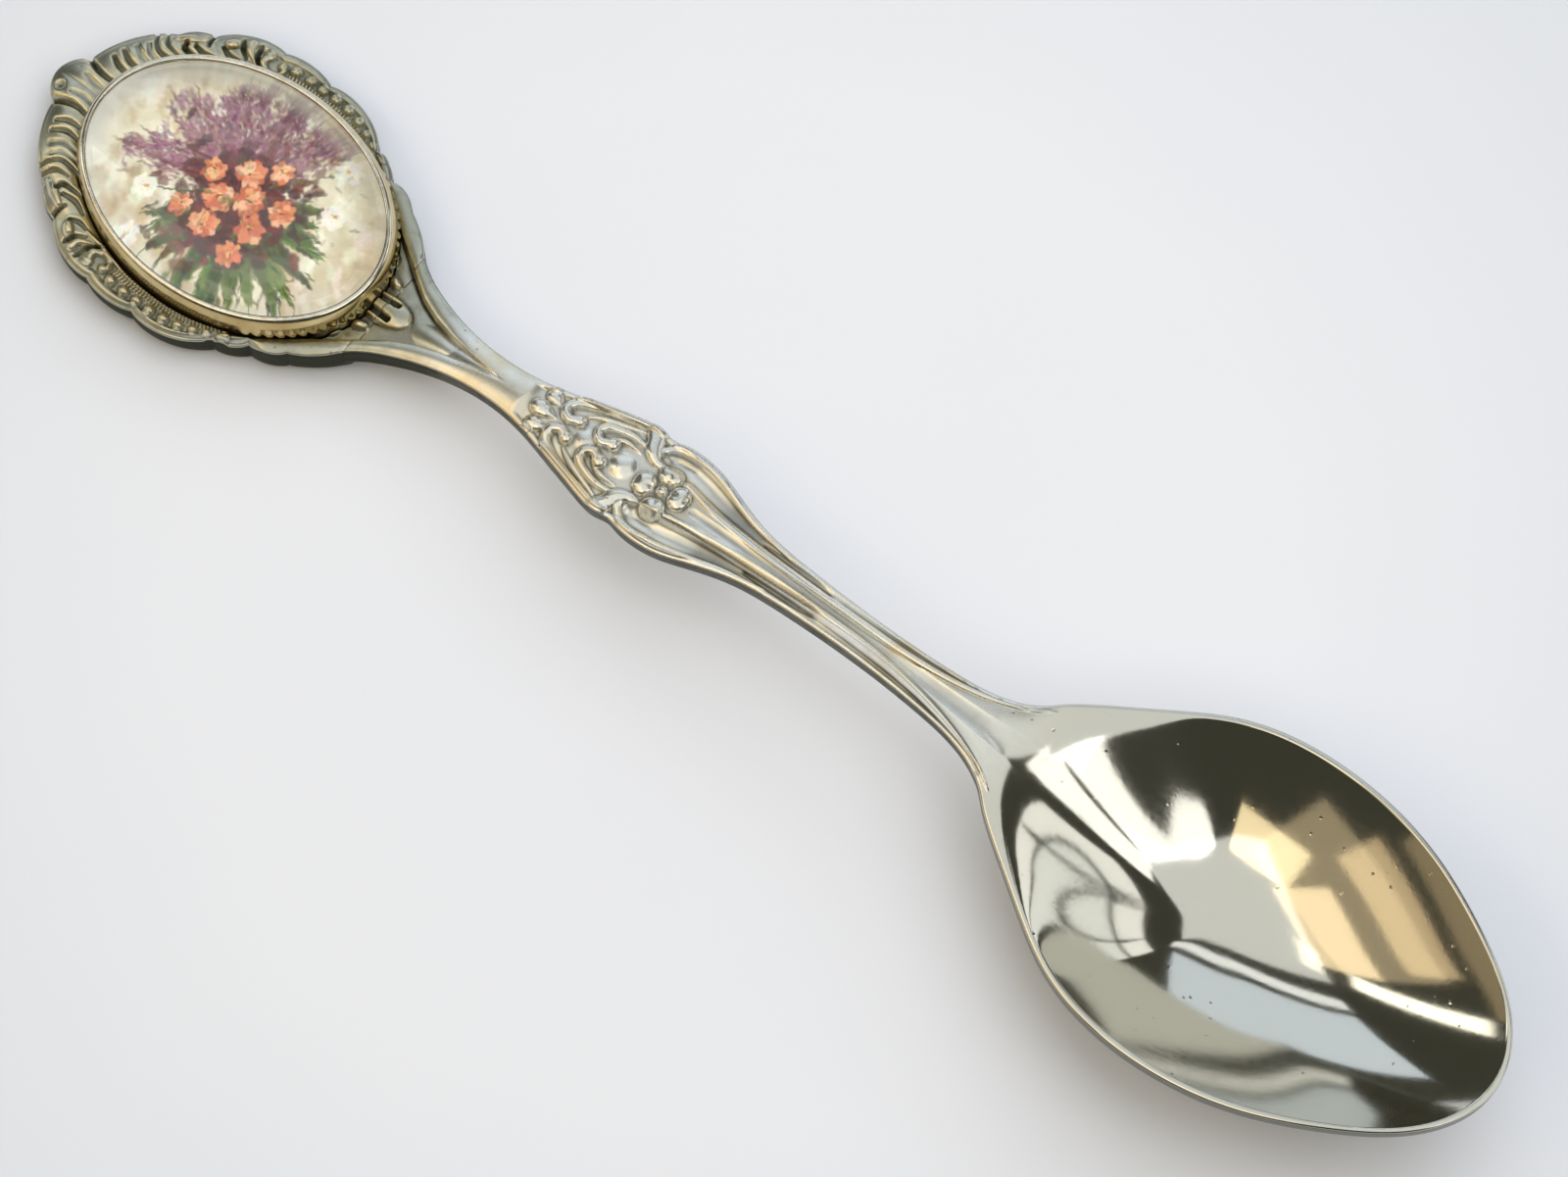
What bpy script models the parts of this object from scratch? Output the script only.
# Souvenir spoon: a stamped metal spoon whose scalloped frame holds an oval picture under a clear cabochon.
# Lengths below are in millimetres. X runs along the spoon towards the bowl, Y across it, +Z up.
# Blender 4.5; the scene is in metres.
import math

import bmesh
import bpy

MM = 0.001

# Oval picture mount
lens_length = 25.0
lens_width = 18.0
lens_crown = 1.9  # rise of the dome above the collar
lens_foot = 0.15  # small chamfer round the lens's flat back
girdle_drop = 0.9  # the dome starts to curve in this far below the collar's lip
collar_wall = 0.45
collar_height = 4.2  # from the floor of the recess to the collar's lip
lip_lean = 0.3  # the lip is pushed in over the lens by this much
fit_gap = 0.08  # collar in recess, lens in collar
stack_gap = 0.05  # between floor, film, card and lens
film_thickness = 0.15
card_thickness = 0.35
card_margin = 0.3  # card and film stop this far inside the lens outline
oval_steps = 72

# Frame plate
floor_thickness = 1.3
frame_inner_top = 2.7
frame_crest = 3.2
frame_edge_top = 2.6
frame_edge_bottom = 1.5
frame_undercut = 0.45  # share of the ring's width that the underside is cut back
gadroon_height = 0.32
outline_step = 0.55
# Each scallop: where it ends (degrees round from the outer end), how far that notch is outside the
# collar, how far the scallop bulges past its chord, and how many gadroons it carries.
scallops = [
    (7.8, 3.4, 1.45, 1),
    (32.0, 2.9, 0.75, 3),
    (42.9, 2.7, 0.35, 1),
    (66.3, 2.6, 0.75, 2),
    (86.5, 1.95, 0.45, 2),
    (119.5, 0.85, 0.95, 3),
    (133.5, 0.55, 0.35, 1),
    (146.0, 1.25, 0.4, 1),
]
shoulder_half = 4.8  # half-width of the plate where the handle takes over
shoulder_reach = 0.4
plate_tongue = 1.0  # how far the plate runs under the start of the handle
tongue_half = 3.6

# Handle, as a chain of lengths from the collar towards the bowl
fan_length = 10.55  # from the collar to the waist of the neck
cartouche_from_neck = 13.9
waist_from_cartouche = 20.3
bowl_from_waist = 11.2
neck_width = 3.3
fan_width = 10.2
cartouche_width = 8.3
cartouche_length = 13.0
stem_width = 3.3
fan_ridge = 0.5
scroll_ridge = 0.35
stem_groove = 0.25

# Bowl
bowl_length = 43.2
bowl_width = 26.2
bowl_depth = 7.3  # inside, at the deepest point
bowl_wall = 1.0
rim_land = 0.8

# Heights of the handle's top edges
fan_height = 3.2
neck_height = 5.3
cartouche_height = 6.7
waist_height = 8.0
bowl_root_height = 8.0
tip_rise = 1.9  # bowl tip above the rim at the deepest point
neck_thickness = 2.3
cartouche_thickness = 2.0
stem_thickness = 2.4
stem_crown = 0.5
root_bottom = 0.5  # underside of the handle where it leaves the plate
recess_gap = 0.12  # from the recess to the start of the handle
handle_land = 0.35  # flat border along the handle's edge

collar_half_length = lens_length / 2 + fit_gap + collar_wall
collar_half_width = lens_width / 2 + fit_gap + collar_wall
recess_half_length = collar_half_length + fit_gap
recess_half_width = collar_half_width + fit_gap
recess_floor = floor_thickness
rim_height = bowl_wall + bowl_depth  # of the bowl's rim at the deepest point


def make_collection(name):
    collection = bpy.data.collections.new(name)
    bpy.context.scene.collection.children.link(collection)
    return collection


def make_material(name, color, roughness, metallic, transmission=0.0):
    material = bpy.data.materials.new(name)
    material.use_nodes = True
    shader = material.node_tree.nodes["Principled BSDF"]
    shader.inputs["Base Color"].default_value = (*color, 1.0)
    shader.inputs["Roughness"].default_value = roughness
    shader.inputs["Metallic"].default_value = metallic
    shader.inputs["Transmission Weight"].default_value = transmission
    return material


def loft(name, rings, collection, material, band=False):
    """One closed body through rings of equal count, each a list of (x, y, z) in millimetres.

    A band joins its last ring to its first; any other loft is capped at both ends.
    """
    work = bmesh.new()
    rows = [[work.verts.new((x * MM, y * MM, z * MM)) for x, y, z in ring] for ring in rings]
    count = len(rows[0])
    following = [*rows[1:], rows[0]] if band else rows[1:]
    for near, far in zip(rows, following):
        for i in range(count):
            j = (i + 1) % count
            work.faces.new((near[i], near[j], far[j], far[i]))
    if not band:
        work.faces.new(rows[0][::-1])
        work.faces.new(rows[-1])
    bmesh.ops.recalc_face_normals(work, faces=work.faces)
    mesh = bpy.data.meshes.new(name)
    work.to_mesh(mesh)
    work.free()
    mesh.materials.append(material)
    mesh.shade_smooth()
    mesh.set_sharp_from_angle(angle=math.radians(35))
    thing = bpy.data.objects.new(name, mesh)
    collection.objects.link(thing)
    return thing


def smooth_through(stations):
    """A curve through (x, value) stations that never overshoots between two of them."""
    xs = [x for x, _ in stations]
    values = [value for _, value in stations]
    slopes = [(b - a) / (q - p) for a, b, p, q in zip(values, values[1:], xs, xs[1:])]
    tangents = [slopes[0]]
    for left, right in zip(slopes, slopes[1:]):
        tangents.append(0.0 if left * right <= 0 else 2 * left * right / (left + right))
    tangents.append(slopes[-1])

    def value_at(x):
        x = min(max(x, xs[0]), xs[-1])
        k = max(i for i in range(len(xs) - 1) if xs[i] <= x)
        width = xs[k + 1] - xs[k]
        t = (x - xs[k]) / width
        start = (1 + 2 * t) * (1 - t) ** 2 * values[k] + t * (1 - t) ** 2 * width * tangents[k]
        end = t * t * (3 - 2 * t) * values[k + 1] - t * t * (1 - t) * width * tangents[k + 1]
        return start + end

    return value_at


# Places along X, measured from the cabochon's centre and then moved so that the spoon is centred
handle_start = recess_half_length + recess_gap
neck_x = collar_half_length + fan_length
cartouche_x = neck_x + cartouche_from_neck
waist_x = cartouche_x + waist_from_cartouche
bowl_x = waist_x + bowl_from_waist
tip_x = bowl_x + bowl_length


def oval_radius(half_length, half_width, angle):
    return 1 / math.hypot(math.cos(angle) / half_length, math.sin(angle) / half_width)


def notch_point(degrees, reach):
    angle = math.radians(degrees)
    radius = oval_radius(collar_half_length, collar_half_width, angle) + reach
    return (-radius * math.cos(angle), radius * math.sin(angle))


def scallop_points(start, end, bulge, gadroons):
    """Points from start up to end, bulging outwards, each with its gadroon height from 0 to 1."""
    span = math.dist(start, end)
    steps = max(3, round(span / outline_step))
    out = ((start[1] - end[1]) / span, (end[0] - start[0]) / span)
    points = []
    for i in range(steps):
        t = i / steps
        rise = bulge * 4 * t * (1 - t)
        x = start[0] + (end[0] - start[0]) * t + out[0] * rise
        y = start[1] + (end[1] - start[1]) * t + out[1] * rise
        points.append((x, y, abs(math.sin(math.pi * gadroons * t)) ** 0.7))
    return points


def frame_outline():
    """The plate's edge, all the way round, starting on the axis at the outer end."""
    first = notch_point(scallops[0][0], scallops[0][1])
    mirrored = (first[0], -first[1])
    whole = scallop_points(mirrored, first, scallops[0][2], scallops[0][3])
    half = [p for p in whole if p[1] > 1e-6]
    corner = first
    for degrees, reach, bulge, gadroons in scallops[1:]:
        following = notch_point(degrees, reach)
        half += scallop_points(corner, following, bulge, gadroons)
        corner = following
    shoulder = (handle_start + shoulder_reach, shoulder_half)
    half += scallop_points(corner, shoulder, 0.2, 1)
    tongue = handle_start + plate_tongue
    half.append((shoulder[0], shoulder[1], 0.0))
    half.append((tongue, tongue_half, 0.0))
    half.append((tongue, tongue_half / 2, 0.0))
    other = [(x, -y, rise) for x, y, rise in reversed(half)]
    top = (first[0] - scallops[0][2], 0.0, 1.0)
    return [top, *half, (tongue, 0.0, 0.0), *other]


outline = frame_outline()
outer_end = min(x for x, _, _ in outline)
shift = -(outer_end + tip_x) / 2


def recess_point(x, y):
    angle = math.atan2(y, x)
    radius = oval_radius(recess_half_length, recess_half_width, angle)
    return radius * math.cos(angle), radius * math.sin(angle)


def frame_ring(share, height, lift):
    """One ring of the plate: share 0 is the recess wall, 1 the outer edge."""
    ring = []
    for x, y, rise in outline:
        inner_x, inner_y = recess_point(x, y)
        ring.append(
            (
                inner_x + (x - inner_x) * share + shift,
                inner_y + (y - inner_y) * share,
                height + lift * rise,
            )
        )
    return ring


def make_plate(collection, material):
    rings = [frame_ring(0.0, recess_floor, 0.0), frame_ring(0.0, frame_inner_top, 0.0)]
    for share in (0.12, 0.3, 0.5, 0.7, 0.88):
        crest = math.sin(math.pi * share)
        base = frame_inner_top + (frame_edge_top - frame_inner_top) * share
        height = base + (frame_crest - frame_inner_top) * crest
        rings.append(frame_ring(share, height, gadroon_height * crest))
    rings.append(frame_ring(1.0, frame_edge_top, 0.0))
    rings.append(frame_ring(1.0, frame_edge_bottom, 0.0))
    rings.append(frame_ring(1.0 - frame_undercut, 0.0, 0.0))
    return loft("spoon_blank", rings, collection, material)


# Half-width, height of the top edge, top centreline and keel of the handle and bowl
half_bowl = bowl_width / 2
half_panel = cartouche_width / 2
panel = cartouche_length / 2
half_width = smooth_through(
    [
        (handle_start, fan_width / 2),
        (handle_start + 0.32 * fan_length, fan_width * 0.305),
        (neck_x - 0.32 * fan_length, neck_width * 0.63),
        (neck_x, neck_width / 2),
        (cartouche_x - panel, neck_width / 2 + 0.35 * (half_panel - neck_width / 2)),
        (cartouche_x - 0.32 * panel, half_panel * 0.96),
        (cartouche_x - 0.08 * panel, half_panel * 0.91),
        (cartouche_x + 0.3 * panel, half_panel),
        (cartouche_x + 0.8 * panel, stem_width / 2 + 0.8 * (half_panel - stem_width / 2)),
        (cartouche_x + 1.4 * panel, stem_width / 2 + 0.35 * (half_panel - stem_width / 2)),
        (waist_x - 0.35 * waist_from_cartouche, stem_width / 2 + 0.1),
        (waist_x, stem_width / 2),
        (bowl_x - 0.45 * bowl_from_waist, stem_width / 2 + 0.2),
        (bowl_x - 0.1 * bowl_from_waist, stem_width / 2 + 0.75),
        (bowl_x, stem_width / 2 + 1.1),
        (bowl_x + 0.075 * bowl_length, half_bowl * 0.375),
        (bowl_x + 0.15 * bowl_length, half_bowl * 0.56),
        (bowl_x + 0.25 * bowl_length, half_bowl * 0.795),
        (bowl_x + 0.37 * bowl_length, half_bowl * 0.945),
        (bowl_x + 0.5 * bowl_length, half_bowl),
        (bowl_x + 0.65 * bowl_length, half_bowl * 0.93),
        (bowl_x + 0.75 * bowl_length, half_bowl * 0.82),
        (bowl_x + 0.85 * bowl_length, half_bowl * 0.65),
        (bowl_x + 0.9 * bowl_length, half_bowl * 0.535),
        (bowl_x + 0.95 * bowl_length, half_bowl * 0.385),
        (bowl_x + 0.98 * bowl_length, half_bowl * 0.245),
        (tip_x, half_bowl * 0.04),
    ]
)
edge_height = smooth_through(
    [
        (handle_start, fan_height),
        (neck_x, neck_height),
        (cartouche_x, cartouche_height),
        (waist_x, waist_height),
        (bowl_x, bowl_root_height),
        (bowl_x + 0.47 * bowl_length, rim_height),
        (bowl_x + 0.8 * bowl_length, rim_height + 0.6 * tip_rise),
        (tip_x, rim_height + tip_rise),
    ]
)
deepest_x = bowl_x + 0.47 * bowl_length
inner_tip_x = tip_x - rim_land
inside_height = smooth_through(
    [
        (handle_start, fan_height + 0.2),
        (neck_x, neck_height + stem_crown),
        (cartouche_x, cartouche_height + stem_crown),
        (waist_x, waist_height + stem_crown),
        (bowl_x - 0.1 * bowl_from_waist, bowl_root_height + 0.7 * stem_crown),
        (bowl_x + 0.03 * bowl_length, bowl_root_height - 0.2),
        (bowl_x + 0.15 * bowl_length, bowl_wall + 0.38 * bowl_depth),
        (bowl_x + 0.3 * bowl_length, bowl_wall + 0.09 * bowl_depth),
        (deepest_x, bowl_wall),
        (bowl_x + 0.64 * bowl_length, bowl_wall + 0.08 * bowl_depth),
        (bowl_x + 0.78 * bowl_length, bowl_wall + 0.31 * bowl_depth),
        (bowl_x + 0.89 * bowl_length, bowl_wall + 0.68 * bowl_depth),
        (bowl_x + 0.95 * bowl_length, bowl_wall + 0.98 * bowl_depth),
        (inner_tip_x, rim_height + 0.97 * tip_rise),
        (tip_x, rim_height + tip_rise),
    ]
)
keel_height = smooth_through(
    [
        (handle_start, root_bottom),
        (handle_start + 0.35 * fan_length, 0.8),
        (neck_x, neck_height + stem_crown - neck_thickness),
        (cartouche_x, cartouche_height + stem_crown - cartouche_thickness),
        (waist_x, waist_height + stem_crown - stem_thickness),
        (bowl_x, bowl_root_height - 0.8 * stem_thickness),
        (bowl_x + 0.15 * bowl_length, 0.34 * bowl_depth),
        (bowl_x + 0.3 * bowl_length, 0.06 * bowl_depth),
        (deepest_x, 0.0),
        (bowl_x + 0.64 * bowl_length, 0.07 * bowl_depth),
        (bowl_x + 0.78 * bowl_length, 0.28 * bowl_depth),
        (bowl_x + 0.89 * bowl_length, 0.62 * bowl_depth),
        (bowl_x + 0.95 * bowl_length, 0.9 * bowl_depth),
        (tip_x, rim_height + tip_rise - bowl_wall),
    ]
)
side_height = smooth_through(
    [
        (handle_start, 1.6),
        (neck_x, 1.2),
        (cartouche_x, 1.0),
        (waist_x, 1.2),
        (bowl_x, 1.0),
        (tip_x, 1.0),
    ]
)


def bump(x, center, half):
    t = abs(x - center) / half
    return 0.0 if t >= 1 else (1 - t * t) ** 2


def relief(x, share):
    """Height of the ornament above the plain top; share is the distance from the centreline, 0 to 1."""
    if x < neck_x:
        closing = min(1.0, (neck_x - x) / (0.5 * fan_length))
        return fan_ridge * closing * (bump(share, 0.78, 0.26) - 0.5 * bump(share, 0.3, 0.3))
    if abs(x - cartouche_x) < panel:
        fade = bump(x, cartouche_x, panel)
        return scroll_ridge * fade * (bump(share, 0.8, 0.25) + bump(share, 0.0, 0.4))
    if cartouche_x + panel < x < bowl_x:
        fade = min(1.0, (x - cartouche_x - panel) / panel, (bowl_x - x) / 3)
        return -stem_groove * fade * bump(share, 0.45, 0.25)
    return 0.0


top_shares = (0.96, 0.86, 0.7, 0.5, 0.3, 0.15)
keel_shares = (0.97, 0.88, 0.72, 0.5, 0.25)


def section_rise(share, in_bowl):
    """Rise from the middle to the edge, 0 to 1: a parabola in the handle, steep-sided in the bowl."""
    plain = share * share
    steep = 1 - (1 - share * share) ** 0.7
    return plain + (steep - plain) * in_bowl


def handle_ring(x):
    wide = half_width(x)
    edge = edge_height(x)
    middle = inside_height(x)
    keel = keel_height(x)
    in_bowl = min(1.0, max(0.0, (x - bowl_x) / (0.2 * bowl_length)))
    border = handle_land + (rim_land - handle_land) * in_bowl
    land = max(wide - border, wide * 0.6)
    low_edge = max(edge - side_height(x), keel)
    upper = [(wide, edge), (land, edge)]
    for share in top_shares:
        height = middle + (edge - middle) * section_rise(share, in_bowl)
        upper.append((land * share, height + relief(x, share)))
    lower = [(wide, low_edge)]
    for share in keel_shares:
        lower.append((wide * share, keel + (low_edge - keel) * section_rise(share, in_bowl)))
    left = [(x + shift, y, z) for y, z in upper]
    right = [(x + shift, -y, z) for y, z in reversed(upper)]
    below_right = [(x + shift, -y, z) for y, z in lower]
    below_left = [(x + shift, y, z) for y, z in reversed(lower)]
    top_middle = (x + shift, 0.0, middle + relief(x, 0.0))
    return [*left, top_middle, *right, *below_right, (x + shift, 0.0, keel), *below_left]


def handle_stations():
    stations = []
    for start, end, count in (
        (handle_start, neck_x, 9),
        (neck_x, cartouche_x + panel, 16),
        (cartouche_x + panel, bowl_x - 4, 8),
        (bowl_x - 4, bowl_x + 4, 8),
        (bowl_x + 4, tip_x - 6, 15),
    ):
        stations += [start + (end - start) * i / count for i in range(count)]
    closing = 9
    for i in range(closing + 1):
        stations.append(tip_x - 6 * (1 - math.sin(math.pi / 2 * i / closing)))
    return stations


def make_handle(collection, material):
    rings = [handle_ring(x) for x in handle_stations()]
    return loft("handle_and_bowl", rings, collection, material)


def oval(half_long, half_wide, height):
    ring = []
    for i in range(oval_steps):
        angle = 2 * math.pi * i / oval_steps
        ring.append((half_long * math.cos(angle) + shift, half_wide * math.sin(angle), height))
    return ring


def inset_oval(inset, height):
    """An oval that much inside the lens outline."""
    return oval(lens_length / 2 - inset, lens_width / 2 - inset, height)


lip_height = recess_floor + collar_height
girdle_height = lip_height - girdle_drop


def make_collar(collection, material):
    """A closed band: upright wall whose lip leans in over the lens."""
    low = recess_floor + stack_gap
    inner = -fit_gap
    outer = inner - collar_wall
    bend = lip_height - 0.35 * girdle_drop
    section = [
        (inner, low),
        (outer, low),
        (outer, girdle_height + 0.1),
        (outer + 0.6 * lip_lean, bend),
        (outer + 1.4 * lip_lean, lip_height),
        (lip_lean, lip_height),
        (lip_lean * 0.15, bend),
        (inner, girdle_height),
    ]
    rings = [inset_oval(inset, height) for inset, height in section]
    loft("bezel_collar", rings, collection, material, band=True)


film_bottom = recess_floor + stack_gap
card_bottom = film_bottom + film_thickness + stack_gap
lens_bottom = card_bottom + card_thickness + stack_gap


def make_lens(collection, material):
    """A cabochon: flat back, upright girdle, domed top."""
    rise = lip_height + lens_crown - girdle_height
    rings = [
        inset_oval(lens_foot, lens_bottom),
        inset_oval(0.0, lens_bottom + lens_foot),
        inset_oval(0.0, girdle_height),
    ]
    for degrees in (9, 18, 27, 36, 46, 56, 66, 75, 83):
        across = math.cos(math.radians(degrees)) ** 0.8
        up = math.sin(math.radians(degrees))
        rings.append(oval(lens_length / 2 * across, lens_width / 2 * across, girdle_height + rise * up))
    loft("dome_lens", rings, collection, material)


def make_layer(name, bottom, thickness, collection, material):
    rings = [inset_oval(card_margin, bottom), inset_oval(card_margin, bottom + thickness)]
    loft(name, rings, collection, material)


def main():
    for thing in list(bpy.data.objects):
        bpy.data.objects.remove(thing)
    parts = make_collection("souvenir_spoon")
    cutters = make_collection("cutters")

    silver = make_material("silver_plate", (0.74, 0.71, 0.64), 0.25, 1.0)
    gilt = make_material("gilt_collar", (0.78, 0.6, 0.36), 0.28, 1.0)
    glue = make_material("adhesive", (0.7, 0.66, 0.55), 0.4, 0.0)
    paper = make_material("picture", (0.82, 0.76, 0.62), 0.6, 0.0)
    clear = make_material("clear_lens", (0.95, 0.96, 0.95), 0.05, 0.0, 1.0)

    blank = make_plate(parts, silver)
    handle = make_handle(cutters, silver)
    handle.hide_render = True
    handle.display_type = "WIRE"
    union = blank.modifiers.new("join_handle", "BOOLEAN")
    union.operation = "UNION"
    union.object = handle
    make_collar(parts, gilt)
    make_layer("adhesive_film", film_bottom, film_thickness, parts, glue)
    make_layer("picture_card", card_bottom, card_thickness, parts, paper)
    make_lens(parts, clear)


main()
